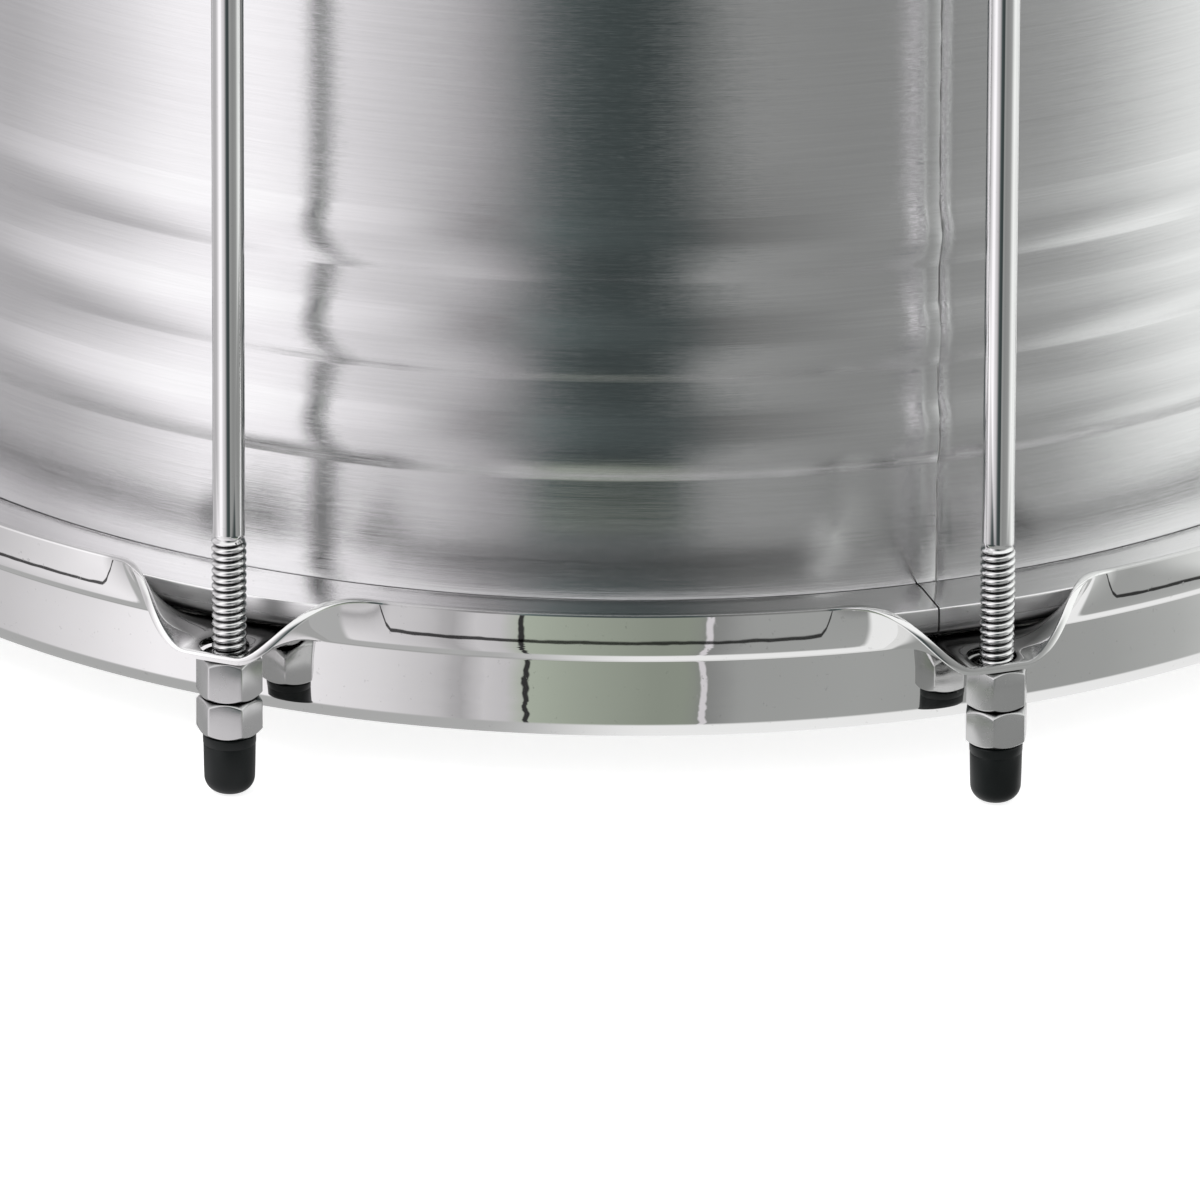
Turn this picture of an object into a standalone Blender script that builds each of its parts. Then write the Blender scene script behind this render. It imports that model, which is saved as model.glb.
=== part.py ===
"""Repinique: a two-headed tension drum with pressed sheet-metal counterhoops.

Lengths are in metres and +Z is up. The origin is the middle of the circle on which the end caps
stand. The lower end is built from the floor up, and the upper end is its mirror image.
"""

import math

import bmesh
import bpy
from mathutils import Vector

# Sheet-metal shell
SHELL_RADIUS = 0.1540
SHELL_LENGTH = 0.300
SHELL_WALL = 0.0012
BEARING_ROUND = 0.0026
RETURN_FLANGE = 0.0060
RETURN_ANGLE = math.radians(45)
BEADS_PER_END = 3
BEAD_WIDTH = 0.0118
BEAD_HEIGHT = 0.0013
BEAD_PITCH = 0.0184
FIRST_BEAD = 0.0427

# Heads: a thin film clinched into a flat metal flesh hoop
FILM = 0.00035
COLLAR_DEPTH = 0.0083
COLLAR_LEAN = 0.0010
FLESH_STANDOFF = 0.0028
FLESH_WIDTH = 0.0088
FLESH_HEIGHT = 0.0060
FLESH_SLOPE = 0.0005
FLESH_CHAMFER = 0.0023
SLOT_DEPTH = 0.0044
SLOT_AIR = 0.0005

# Counterhoops: rim, ledge, upstanding band, and one turned-out ear for each rod
LUGS = 8
HOOP_SHEET = 0.0014
RIM_SETBACK = 0.0052
RIM_DEPTH = 0.0092
RIM_ROLL = 0.0036
LEDGE_FILLET = 0.0012
BAND_AIR = 0.0010
BAND_HEIGHT = 0.0101
BAND_BEND = 0.0040
EAR_REACH = 0.0135
EAR_FLAT = 0.0120
EAR_WIDTH = 0.0531
EAR_DRIFT = 0.0013
FOLD_EASE = 0.80
REACH_EASE = 0.80

# Tension rods and what is threaded on them
ROD_SETOUT = 0.0075
ROD_RADIUS = 0.00285
THREAD_RADIUS = 0.0031
THREAD_ABOVE_EAR = 0.020
THREAD_CHAMFER = 0.0006
ROD_IN_CAP = 0.0080
HEAD_HEIGHT = 0.0055
ACROSS_FLATS = 0.0103
CHAMFER_INSET = 0.0002
CHAMFER_SLOPE = 0.8
TUNING_NUT = 0.0074
LOCK_NUT = 0.0066
CAP_WALL = 0.0016
CAP_HEIGHT = 0.0110
CAP_ROUND = 0.0023

# How far each pair of nuts is turned about its rod, and each rod's head, in degrees
NUT_TURNS = (4.0, 8.0, 21.0, -5.0, 26.0, 13.0, -18.0, 16.0)
HEAD_TURNS = (4.0, -20.0, 12.0, 27.0, -9.0, 17.0, -3.0, 22.0)

GAP = 0.0003
ROUND_SIDES = 5 * LUGS
SMALL_SIDES = 12
BEAD_STEPS = 4
BAND_STEPS = 3
EAR_STEPS = 3
SMOOTH_UNDER = math.radians(40)

# Heights above the floor, worked up from the caps
LOCK_NUT_BASE = CAP_HEIGHT + GAP
TUNING_NUT_BASE = LOCK_NUT_BASE + LOCK_NUT + GAP
LEDGE_UNDER = TUNING_NUT_BASE + TUNING_NUT + GAP
LEDGE_TOP = LEDGE_UNDER + HOOP_SHEET
BEARING_EDGE = LEDGE_TOP - COLLAR_DEPTH
RIM_EDGE = BEARING_EDGE - RIM_DEPTH
MIRROR_SUM = 2 * BEARING_EDGE + SHELL_LENGTH

# Radii, worked outwards from the shell and from the rods
FLESH_INNER = SHELL_RADIUS + FLESH_STANDOFF
FLESH_OUTER = FLESH_INNER + FLESH_WIDTH
RIM_RADIUS = FLESH_INNER + RIM_SETBACK
BAND_RADIUS = FLESH_OUTER + BAND_AIR + HOOP_SHEET
BEND_START = BAND_RADIUS - BAND_BEND
EAR_RADIUS = BAND_RADIUS + EAR_REACH
ROD_CIRCLE = BAND_RADIUS + ROD_SETOUT
EAR_HOLE = THREAD_RADIUS + EAR_DRIFT + GAP
CAP_RADIUS = THREAD_RADIUS + CAP_WALL


def clear_scene():
    for old in list(bpy.data.objects):
        bpy.data.objects.remove(old, do_unlink=True)


def finish_material(name, colour, metallic, roughness):
    """One Principled material for one object."""
    material = bpy.data.materials.new(name)
    material.use_nodes = True
    shader = material.node_tree.nodes["Principled BSDF"]
    shader.inputs["Base Color"].default_value = (*colour, 1.0)
    shader.inputs["Metallic"].default_value = metallic
    shader.inputs["Roughness"].default_value = roughness
    material.diffuse_color = (*colour, 1.0)
    return material


BRUSHED = ((0.62, 0.61, 0.62), 1.0, 0.32)
ALUMINIUM = ((0.74, 0.73, 0.74), 1.0, 0.28)
CHROME = ((0.80, 0.79, 0.79), 1.0, 0.08)
SATIN_CHROME = ((0.66, 0.65, 0.66), 1.0, 0.24)
MILKY_FILM = ((0.86, 0.86, 0.84), 0.0, 0.40)
BLACK_RUBBER = ((0.012, 0.012, 0.013), 0.0, 0.45)


def add_object(name, bm, finish):
    """Turns a finished bmesh into a smooth-shaded object with its own material."""
    bmesh.ops.remove_doubles(bm, verts=bm.verts[:], dist=1e-7)
    bmesh.ops.recalc_face_normals(bm, faces=bm.faces[:])
    mesh = bpy.data.meshes.new(name)
    bm.to_mesh(mesh)
    bm.free()
    mesh.shade_smooth()
    mesh.set_sharp_from_angle(angle=SMOOTH_UNDER)
    mesh.materials.append(finish_material(name + "_finish", *finish))
    made = bpy.data.objects.new(name, mesh)
    bpy.context.scene.collection.objects.link(made)
    return made


def arc(centre, radius, start, end, steps):
    """Points on an arc in the (radius, height) plane, with angles in degrees."""
    points = []
    for step in range(steps + 1):
        angle = math.radians(start + (end - start) * step / steps)
        points.append((centre[0] + radius * math.cos(angle), centre[1] + radius * math.sin(angle)))
    return points


def mirrored(profile):
    """The same (radius, height) points for the drum's upper end, in reverse order."""
    return [(radius, MIRROR_SUM - height) for radius, height in reversed(profile)]


def spin_profile(name, profile, finish, closed=True):
    """Spins a (radius, height) outline once round the drum's axis."""
    bm = bmesh.new()
    verts = [bm.verts.new((0.0, -radius, height)) for radius, height in profile]
    edges = [bm.edges.new(pair) for pair in zip(verts, verts[1:])]
    if closed:
        edges.append(bm.edges.new((verts[-1], verts[0])))
    bmesh.ops.spin(
        bm,
        geom=verts + edges,
        cent=(0.0, 0.0, 0.0),
        axis=(0.0, 0.0, 1.0),
        angle=2 * math.pi,
        steps=ROUND_SIDES,
        use_merge=True,
    )
    return add_object(name, bm, finish)


def bead_outline(middle):
    """One bead as a flat circular arc that stands out of the shell's wall."""
    arc_radius = (BEAD_WIDTH**2 / 4 + BEAD_HEIGHT**2) / (2 * BEAD_HEIGHT)
    points = []
    for step in range(BEAD_STEPS + 1):
        along = BEAD_WIDTH * (step / BEAD_STEPS - 0.5)
        rise = math.sqrt(arc_radius**2 - along**2) - (arc_radius - BEAD_HEIGHT)
        points.append((SHELL_RADIUS + rise, middle + along))
    return points


def bearing_outline():
    """The lower bearing edge: outer side from the return flange out, and inner side from the wall in."""
    centre = (SHELL_RADIUS - BEARING_ROUND, BEARING_EDGE + BEARING_ROUND)
    turn_end = -90.0 - math.degrees(RETURN_ANGLE)
    outer = arc(centre, BEARING_ROUND, turn_end, 0.0, 3)
    inner = arc(centre, BEARING_ROUND - SHELL_WALL, 0.0, turn_end, 1)
    inward = -RETURN_FLANGE * math.cos(RETURN_ANGLE)
    upward = RETURN_FLANGE * math.sin(RETURN_ANGLE)
    tip_outer = (outer[0][0] + inward, outer[0][1] + upward)
    tip_inner = (inner[-1][0] + inward, inner[-1][1] + upward)
    return [tip_outer] + outer, inner + [tip_inner]


def build_shell():
    """A sheet tube with beads near both ends and its edges turned in to carry the heads."""
    outer_edge, inner_edge = bearing_outline()
    lower_half = list(outer_edge)
    for index in range(BEADS_PER_END):
        lower_half += bead_outline(BEARING_EDGE + FIRST_BEAD + index * BEAD_PITCH)
    outline = lower_half + mirrored(lower_half) + mirrored(inner_edge) + inner_edge
    return spin_profile("shell", outline, BRUSHED)


def film_outline():
    """The lower head: a flat skin, its turn over the bearing edge, a collar, and a clinched tongue."""
    centre = (SHELL_RADIUS - BEARING_ROUND, BEARING_EDGE + BEARING_ROUND)
    tongue = LEDGE_TOP + GAP + FLESH_HEIGHT / 2
    tongue_end = FLESH_INNER + SLOT_DEPTH - SLOT_AIR
    near = BEARING_ROUND + GAP
    outer = [(0.0, BEARING_EDGE - GAP - FILM)]
    outer += arc(centre, near + FILM, -90.0, 0.0, 2)
    outer.append((SHELL_RADIUS + GAP + FILM + COLLAR_LEAN, tongue - FILM / 2))
    outer.append((tongue_end, tongue - FILM / 2))
    inner = [(tongue_end, tongue + FILM / 2)]
    inner.append((SHELL_RADIUS + GAP + COLLAR_LEAN, tongue + FILM / 2))
    inner += arc(centre, near, 0.0, -90.0, 2)
    inner.append((0.0, BEARING_EDGE - GAP))
    return outer + inner


def flesh_outline():
    """The lower flesh hoop: a flat band, chamfered to clear the bend, with an inner slot for the film."""
    base = LEDGE_TOP + GAP
    top = base + FLESH_HEIGHT
    slot_half = FILM / 2 + SLOT_AIR
    slot_middle = base + FLESH_HEIGHT / 2
    return [
        (FLESH_INNER, base),
        (FLESH_OUTER - FLESH_CHAMFER, base),
        (FLESH_OUTER, base + FLESH_CHAMFER),
        (FLESH_OUTER, top - FLESH_SLOPE),
        (FLESH_INNER, top),
        (FLESH_INNER, slot_middle + slot_half),
        (FLESH_INNER + SLOT_DEPTH, slot_middle + slot_half),
        (FLESH_INNER + SLOT_DEPTH, slot_middle - slot_half),
        (FLESH_INNER, slot_middle - slot_half),
    ]


def build_heads():
    film = film_outline()
    flesh = flesh_outline()
    spin_profile("bottom_head", film, MILKY_FILM, closed=False)
    spin_profile("top_head", mirrored(film), MILKY_FILM, closed=False)
    spin_profile("bottom_flesh_hoop", flesh, ALUMINIUM)
    spin_profile("top_flesh_hoop", mirrored(flesh), ALUMINIUM)


def ear_share(offset):
    """0 on an ear's flat, 1 on the plain band, and a smooth step on the curve between them."""
    flat = math.asin(EAR_FLAT / 2 / EAR_RADIUS)
    root = math.asin(EAR_WIDTH / 2 / BAND_RADIUS)
    share = min(max((abs(offset) - flat) / (root - flat), 0.0), 1.0)
    return share * share * (3 - 2 * share)


def flange_outline(offset):
    """The flange's under and upper sides where it leaves the ledge, at an angle from the ear's middle.

    It is bent up through a quarter turn on the plain band, and lies flat and reaches further out
    on the ear.
    """
    share = ear_share(offset)
    fold = math.pi / 2 * share**FOLD_EASE
    band_length = BAND_BEND * math.pi / 2 + BAND_HEIGHT - BAND_BEND
    ear_length = EAR_RADIUS - BEND_START
    length = ear_length + (band_length - ear_length) * share**REACH_EASE
    straight = length - BAND_BEND * fold
    sides = []
    for radius in (BAND_BEND, BAND_BEND - HOOP_SHEET):
        side = []
        for part in (0.0, 0.5, 1.0):
            angle = fold * part
            out = BEND_START + radius * math.sin(angle)
            up = LEDGE_UNDER + BAND_BEND - radius * math.cos(angle)
            side.append((out, up))
        side.append((side[-1][0] + straight * math.cos(fold), side[-1][1] + straight * math.sin(fold)))
        sides.append(side)
    return sides


def hoop_section(offset):
    """The lower counterhoop's closed outline at an angle from the middle of an ear."""
    rolled = (RIM_RADIUS - RIM_ROLL, RIM_EDGE + RIM_ROLL)
    filleted = (RIM_RADIUS + LEDGE_FILLET, LEDGE_UNDER - LEDGE_FILLET)
    under, upper = flange_outline(offset)
    outer = arc(rolled, RIM_ROLL, -90.0, 0.0, 1) + arc(filleted, LEDGE_FILLET, 180.0, 90.0, 1)
    inner = arc(filleted, LEDGE_FILLET + HOOP_SHEET, 90.0, 180.0, 1)
    inner += arc(rolled, RIM_ROLL - HOOP_SHEET, 0.0, -90.0, 1)
    return outer + under + upper[::-1] + inner


def lug_angle(index):
    """Where a rod stands, measured from -Y towards +X."""
    return 2 * math.pi * (index + 0.5) / LUGS


def ear_angle(index):
    """Where the middle of an ear is: the hoops sit turned, so that each rod runs off its hole's centre."""
    return lug_angle(index) - EAR_DRIFT / ROD_CIRCLE


def section_angles():
    """(angle, angle from the nearest ear's middle) for each section round the hoop."""
    flat = math.asin(EAR_FLAT / 2 / EAR_RADIUS)
    root = math.asin(EAR_WIDTH / 2 / BAND_RADIUS)
    pitch = 2 * math.pi / LUGS
    offsets = [flat + (root - flat) * step / EAR_STEPS for step in range(EAR_STEPS + 1)]
    offsets = [-offset for offset in reversed(offsets)] + [0.0] + offsets
    plain = pitch - 2 * root
    offsets += [root + plain * step / BAND_STEPS for step in range(1, BAND_STEPS)]
    angles = []
    for index in range(LUGS):
        for offset in offsets:
            nearest = offset if offset <= pitch / 2 else offset - pitch
            angles.append((ear_angle(index) + offset, nearest))
    return angles


def around(radius, height, angle):
    """The point at a radius, height and angle, with the angle measured from -Y towards +X."""
    return Vector((radius * math.sin(angle), -radius * math.cos(angle), height))


def ear_hole_cutter():
    """One cylinder through both ears at each rod, whose flats lie on the hole's circle."""
    corner_radius = EAR_HOLE / math.cos(math.pi / SMALL_SIDES)
    bm = bmesh.new()
    for index in range(LUGS):
        drilled = bmesh.ops.create_cone(
            bm,
            cap_ends=True,
            segments=SMALL_SIDES,
            radius1=corner_radius,
            radius2=corner_radius,
            depth=MIRROR_SUM,
        )
        place = around(ROD_CIRCLE, MIRROR_SUM / 2, ear_angle(index))
        bmesh.ops.translate(bm, verts=drilled["verts"], vec=place)
    cutter = add_object("ear_hole_cutter", bm, CHROME)
    cutter.hide_render = True
    cutter.display_type = "WIRE"
    return cutter


def build_counterhoop(name, upside_down, cutter):
    """Lofts the section round the drum and drills the ears."""
    bm = bmesh.new()
    rings = []
    for angle, offset in section_angles():
        section = hoop_section(offset)
        if upside_down:
            section = mirrored(section)
        rings.append([bm.verts.new(around(radius, height, angle)) for radius, height in section])
    for ring, following in zip(rings, rings[1:] + rings[:1]):
        for here, ahead in zip(range(len(ring)), list(range(1, len(ring))) + [0]):
            bm.faces.new((ring[here], ring[ahead], following[ahead], following[here]))
    hoop = add_object(name, bm, CHROME)
    drill = hoop.modifiers.new("ear holes", "BOOLEAN")
    drill.operation = "DIFFERENCE"
    drill.solver = "EXACT"
    drill.object = cutter
    return hoop


def round_ring(radius, height):
    step = 2 * math.pi / SMALL_SIDES
    return [(radius * math.cos(step * k), radius * math.sin(step * k), height) for k in range(SMALL_SIDES)]


def hex_ring(height, turn=0.0, slope=0.0):
    """A hexagon drawn with SMALL_SIDES points, so that it lofts to a round ring.

    A slope lowers the corners, or raises them where it is negative, for a chamfered end.
    """
    points = []
    for k in range(SMALL_SIDES):
        angle = 2 * math.pi * k / SMALL_SIDES
        from_corner = (angle + math.pi / 6) % (math.pi / 3) - math.pi / 6
        radius = ACROSS_FLATS / 2 / math.cos(math.pi / 6 - abs(from_corner))
        drop = slope * (radius - ACROSS_FLATS / 2 + CHAMFER_INSET)
        points.append((radius * math.cos(angle + turn), radius * math.sin(angle + turn), height - drop))
    return points


def loft(bm, rings, cap_start, cap_end):
    """Joins rings of equal length with faces, and closes the ends that are asked for."""
    made = [[bm.verts.new(point) for point in ring] for ring in rings]
    for ring, following in zip(made, made[1:]):
        for here, ahead in zip(range(len(ring)), list(range(1, len(ring))) + [0]):
            bm.faces.new((ring[here], ring[ahead], following[ahead], following[here]))
    if cap_start:
        bm.faces.new(made[0][::-1])
    if cap_end:
        bm.faces.new(made[-1])


def build_rod(index):
    """A headed rod, plain above and threaded below, with its origin on its axis at the floor."""
    turn = math.radians(HEAD_TURNS[index % len(HEAD_TURNS)])
    tip = CAP_HEIGHT - ROD_IN_CAP
    thread_top = LEDGE_TOP + THREAD_ABOVE_EAR
    head_base = MIRROR_SUM - LEDGE_UNDER + GAP
    bm = bmesh.new()
    rings = [
        round_ring(THREAD_RADIUS - THREAD_CHAMFER, tip),
        round_ring(THREAD_RADIUS, tip + THREAD_CHAMFER),
        round_ring(THREAD_RADIUS, thread_top),
        round_ring(ROD_RADIUS, thread_top + THREAD_RADIUS - ROD_RADIUS),
        round_ring(ROD_RADIUS, head_base),
        hex_ring(head_base, turn),
        hex_ring(head_base + HEAD_HEIGHT, turn, CHAMFER_SLOPE),
        round_ring(ACROSS_FLATS / 2 - CHAMFER_INSET, head_base + HEAD_HEIGHT),
    ]
    loft(bm, rings, True, True)
    rod = add_object(f"tension_rod_{index + 1}", bm, CHROME)
    rod.location = around(ROD_CIRCLE, 0.0, lug_angle(index))
    return rod


def build_nut(name, height, base, turn, rod, chamfered_on_top):
    """A hexagon nut with one chamfered end, with its origin on the rod's axis at its base."""
    bore = THREAD_RADIUS + GAP
    top, foot = (height, 0.0) if chamfered_on_top else (0.0, height)
    slope = CHAMFER_SLOPE if chamfered_on_top else -CHAMFER_SLOPE
    bm = bmesh.new()
    rings = [
        round_ring(bore, foot),
        hex_ring(foot),
        hex_ring(top, slope=slope),
        round_ring(ACROSS_FLATS / 2 - CHAMFER_INSET, top),
        round_ring(bore, top),
        round_ring(bore, foot),
    ]
    loft(bm, rings, False, False)
    nut = add_object(name, bm, SATIN_CHROME)
    nut.parent = rod
    nut.location = (0.0, 0.0, base)
    nut.rotation_euler = (0.0, 0.0, turn)
    return nut


def build_cap(index, rod):
    """A push-on cap with a rounded foot, which covers the rod's end and stands on the floor."""
    bore = THREAD_RADIUS + GAP
    bore_floor = CAP_HEIGHT - ROD_IN_CAP - GAP
    foot = arc((CAP_RADIUS - CAP_ROUND, CAP_ROUND), CAP_ROUND, -90.0, 0.0, 2)
    bm = bmesh.new()
    rings = [round_ring(radius, height) for radius, height in foot]
    rings.append(round_ring(CAP_RADIUS, CAP_HEIGHT))
    rings.append(round_ring(bore, CAP_HEIGHT))
    rings.append(round_ring(bore, bore_floor))
    loft(bm, rings, True, True)
    cap = add_object(f"end_cap_{index + 1}", bm, BLACK_RUBBER)
    cap.parent = rod
    return cap


def build_lug(index):
    """One rod with its two nuts and its cap."""
    rod = build_rod(index)
    turn = lug_angle(index) + math.radians(NUT_TURNS[index % len(NUT_TURNS)])
    build_nut(f"tuning_nut_{index + 1}", TUNING_NUT, TUNING_NUT_BASE, turn, rod, True)
    build_nut(f"lock_nut_{index + 1}", LOCK_NUT, LOCK_NUT_BASE, turn, rod, False)
    build_cap(index, rod)


def main():
    clear_scene()
    build_shell()
    build_heads()
    cutter = ear_hole_cutter()
    build_counterhoop("bottom_counterhoop", False, cutter)
    build_counterhoop("top_counterhoop", True, cutter)
    for index in range(LUGS):
        build_lug(index)


main()
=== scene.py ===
"""Repinique: a two-headed tension drum with a brushed shell and polished counterhoops, on a pale studio floor.

The fixed frame gives every piece its place. Lengths are in metres, +Z is up, and the origin is the
middle of the circle on which the end caps stand.
"""

import math
import random

import bmesh
import bpy
from bpy.props import FloatProperty, FloatVectorProperty, PointerProperty
from mathutils import Matrix, Vector


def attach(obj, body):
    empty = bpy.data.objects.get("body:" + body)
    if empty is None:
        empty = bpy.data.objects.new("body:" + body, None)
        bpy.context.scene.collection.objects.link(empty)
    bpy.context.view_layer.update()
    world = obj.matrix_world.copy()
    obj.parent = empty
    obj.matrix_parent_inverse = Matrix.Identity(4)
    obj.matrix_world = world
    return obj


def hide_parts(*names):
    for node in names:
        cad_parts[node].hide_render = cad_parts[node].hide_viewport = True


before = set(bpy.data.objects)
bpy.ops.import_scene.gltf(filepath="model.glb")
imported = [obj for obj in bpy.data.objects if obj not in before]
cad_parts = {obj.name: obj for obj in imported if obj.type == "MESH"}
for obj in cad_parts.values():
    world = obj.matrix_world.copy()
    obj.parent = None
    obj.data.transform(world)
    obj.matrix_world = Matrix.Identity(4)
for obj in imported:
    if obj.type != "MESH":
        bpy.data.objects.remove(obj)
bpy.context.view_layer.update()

bl_info = {
    "name": "Repinique",
    "version": (1, 0, 0),
    "blender": (4, 5, 0),
    "location": "3D View > Sidebar > Repinique",
    "description": "Models a repinique and the studio it stands in around its frame of parts",
    "category": "Add Mesh",
}

LUGS = 8
FULL_TURN = 2 * math.pi
MERGE = 1e-6
SEED = 0.001
TILT_LIMIT = math.radians(38)

# Sizes of the frame that the finer pieces follow
SHELL_RADIUS = 0.1540
SHELL_LENGTH = 0.300
BEARING_EDGE = 0.0190
MIRROR_SUM = 2 * BEARING_EDGE + SHELL_LENGTH
BEARING_ROUND = 0.0026
GAP = 0.0003
FILM = 0.00035
SHEET = 0.0014
LEDGE_UNDER = 0.0259
FLESH_BASE = LEDGE_UNDER + SHEET + GAP
FLESH_HEIGHT = 0.0060
FLESH_INNER = 0.1568
FLESH_OUTER = 0.1656
RIM_RADIUS = 0.1620
RIM_EDGE = 0.0098
BAND_RADIUS = 0.1680
EAR_RADIUS = 0.1808
ROD_CIRCLE = 0.1755
EAR_DRIFT = 0.0013


def metres(name, about, value):
    return FloatProperty(name=name, description=about, default=value, unit="LENGTH", subtype="DISTANCE", precision=5)


def share(name, about, value):
    return FloatProperty(name=name, description=about, default=value, min=0.0, max=1.0, subtype="FACTOR")


def colour(name, about, value):
    return FloatVectorProperty(name=name, description=about, default=value, size=3, min=0.0, max=1.0, subtype="COLOR")


def degrees(name, about, value):
    return FloatProperty(name=name, description=about, default=math.radians(value), unit="ROTATION", subtype="ANGLE")


class ShellSettings(bpy.types.PropertyGroup):
    wall: metres("Wall", "Thickness of the sheet", 0.0012)
    bearing_round: metres("Bearing round", "Radius of the turned edge that carries a head", BEARING_ROUND)
    flange: metres("Flange", "Width of the edge turned back inside", 0.0060)
    bead_height: metres("Bead height", "How far a bead stands out", 0.0013)
    bead_width: metres("Bead width", "Width of a bead along the shell", 0.0118)
    bead_pitch: metres("Bead pitch", "Distance between beads", 0.0184)
    first_bead: metres("First bead", "From the bearing edge to the middle of the first bead", 0.0427)
    seam_angle: degrees("Seam angle", "Where the joined edge is, from the front towards the right", 21.45)
    seam_width: metres("Seam width", "Width of the groove at the joined edge", 0.00018)
    seam_depth: metres("Seam depth", "Depth of the groove at the joined edge", 0.00005)
    metal: colour("Metal", "Colour of the brushed metal", (0.78, 0.78, 0.785))
    roughness: share("Roughness", "Mean roughness of the brushed metal", 0.13)
    brushing: share("Brushing", "How much the brushing stretches a reflection", 1.0)


class HeadSettings(bpy.types.PropertyGroup):
    film: metres("Film", "Thickness of a head", FILM)
    milk: colour("Milk", "Colour of the film", (0.80, 0.80, 0.775))
    roughness: share("Roughness", "Mean roughness of the coated film", 0.42)


class HoopSettings(bpy.types.PropertyGroup):
    sheet: metres("Sheet", "Thickness of a counterhoop's sheet", SHEET)
    roll: metres("Roll", "Radius of the rim's rolled lip", 0.0036)
    fillet: metres("Fillet", "Radius between rim and ledge", 0.0012)
    bend: metres("Bend", "Radius between ledge and band", 0.0040)
    edge: metres("Edge", "Rounding of the cut edges", 0.00028)
    hole: metres("Hole", "Radius of the hole in an ear", 0.0044)
    chrome: colour("Chrome", "Colour of the polished plating", (0.86, 0.86, 0.855))
    roughness: share("Roughness", "Mean roughness of the polished plating", 0.016)
    flesh_metal: colour("Flesh hoop metal", "Colour of the flesh hoops", (0.92, 0.915, 0.92))
    flesh_joint: degrees("Flesh hoop joint", "Where a flesh hoop is joined, from the front towards the right", 20.0)
    flesh_gap: metres("Flesh hoop gap", "Width of the joint in a flesh hoop", 0.00035)


class RodSettings(bpy.types.PropertyGroup):
    shaft: metres("Shaft", "Radius of the plain length", 0.00285)
    crest: metres("Crest", "Outer radius of the thread", 0.0031)
    root: metres("Root", "Inner radius of the thread", 0.00238)
    pitch: metres("Pitch", "Distance between threads", 0.0014)
    chrome: colour("Chrome", "Colour of the plated steel", (0.84, 0.84, 0.84))
    roughness: share("Roughness", "Mean roughness of the plated steel", 0.025)


class NutSettings(bpy.types.PropertyGroup):
    flats: metres("Across flats", "Distance between opposite faces", 0.0103)
    bevel: metres("Edge", "Rounding of the corners", 0.00018)
    chrome: colour("Chrome", "Colour of the plated nuts", (0.62, 0.62, 0.62))
    roughness: share("Roughness", "Mean roughness of the plated nuts", 0.24)


class CapSettings(bpy.types.PropertyGroup):
    radius: metres("Radius", "Outer radius at the mouth", 0.0047)
    foot: metres("Foot", "Radius of the rounding at the foot", 0.0030)
    height: metres("Height", "Height of a cap", 0.0110)
    rubber: colour("Rubber", "Colour of the caps", (0.004, 0.006, 0.006))


class StageSettings(bpy.types.PropertyGroup):
    floor: colour("Floor", "Colour of the floor", (0.80, 0.80, 0.80))
    key: FloatProperty(name="Key lamp", description="Power of the lamp above the front left", default=9.0, unit="POWER")
    fill: share("Soft light", "Strength of the even light from all round", 0.72)


def put_down():
    """Leaves edit mode and selects nothing."""
    if bpy.context.mode != "OBJECT":
        bpy.ops.object.mode_set(mode="OBJECT")
    bpy.ops.object.select_all(action="DESELECT")


def take(piece):
    """Makes one object the only selected one and the active one."""
    put_down()
    piece.select_set(True)
    bpy.context.view_layer.objects.active = piece


def edit(piece, whole="DESELECT"):
    take(piece)
    bpy.ops.object.mode_set(mode="EDIT")
    bpy.ops.mesh.select_all(action=whole)


def named(name):
    piece = bpy.context.object
    piece.name = piece.data.name = name
    return piece


def pick(piece, verts=None, edges=None, faces=None):
    """In edit mode, selects just the vertices, edges or faces for which a test is true."""
    mode = "VERT" if verts else "EDGE" if edges else "FACE"
    bpy.ops.mesh.select_mode(type=mode)
    bpy.ops.mesh.select_all(action="DESELECT")
    bm = bmesh.from_edit_mesh(piece.data)
    kind, test = (bm.verts, verts) if verts else (bm.edges, edges) if edges else (bm.faces, faces)
    for element in kind:
        if test(element):
            element.select = True
    bm.select_flush_mode()
    bmesh.update_edit_mesh(piece.data)


def reshape(piece, place):
    """In edit mode, moves each vertex to where place says; None leaves it."""
    bm = bmesh.from_edit_mesh(piece.data)
    for vert in bm.verts:
        target = place(vert)
        if target is not None:
            vert.co = target
    bmesh.update_edit_mesh(piece.data)


def draw_line(name, points, closed=False):
    """A line of edges: a plane merged to one vertex, extruded from point to point."""
    put_down()
    bpy.ops.mesh.primitive_plane_add(size=SEED)
    piece = named(name)
    bpy.ops.object.mode_set(mode="EDIT")
    bpy.ops.mesh.select_mode(type="VERT")
    bpy.ops.mesh.select_all(action="SELECT")
    bpy.ops.mesh.merge(type="CENTER")
    bpy.ops.transform.translate(value=points[0])
    for here, ahead in zip(points, points[1:]):
        bpy.ops.mesh.extrude_vertices_move(TRANSFORM_OT_translate={"value": Vector(ahead) - Vector(here)})
    if closed:
        pick(piece, verts=lambda v: len(v.link_edges) < 2)
        bpy.ops.mesh.edge_face_add()
    return piece


def spun(name, outline, steps, closed=True, start=0.0, angle=FULL_TURN):
    """Spins a (radius, height) outline round the drum's axis, or through part of a turn as a solid."""
    points = [around(radius, height, start) for radius, height in outline]
    piece = draw_line(name, points, closed)
    whole = angle == FULL_TURN
    bpy.ops.mesh.select_all(action="SELECT")
    if not whole:
        bpy.ops.mesh.edge_face_add()
    bpy.ops.mesh.spin(steps=steps, angle=angle, center=(0, 0, 0), axis=(0, 0, 1), use_auto_merge=whole)
    tidy_up(piece)
    return piece


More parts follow.
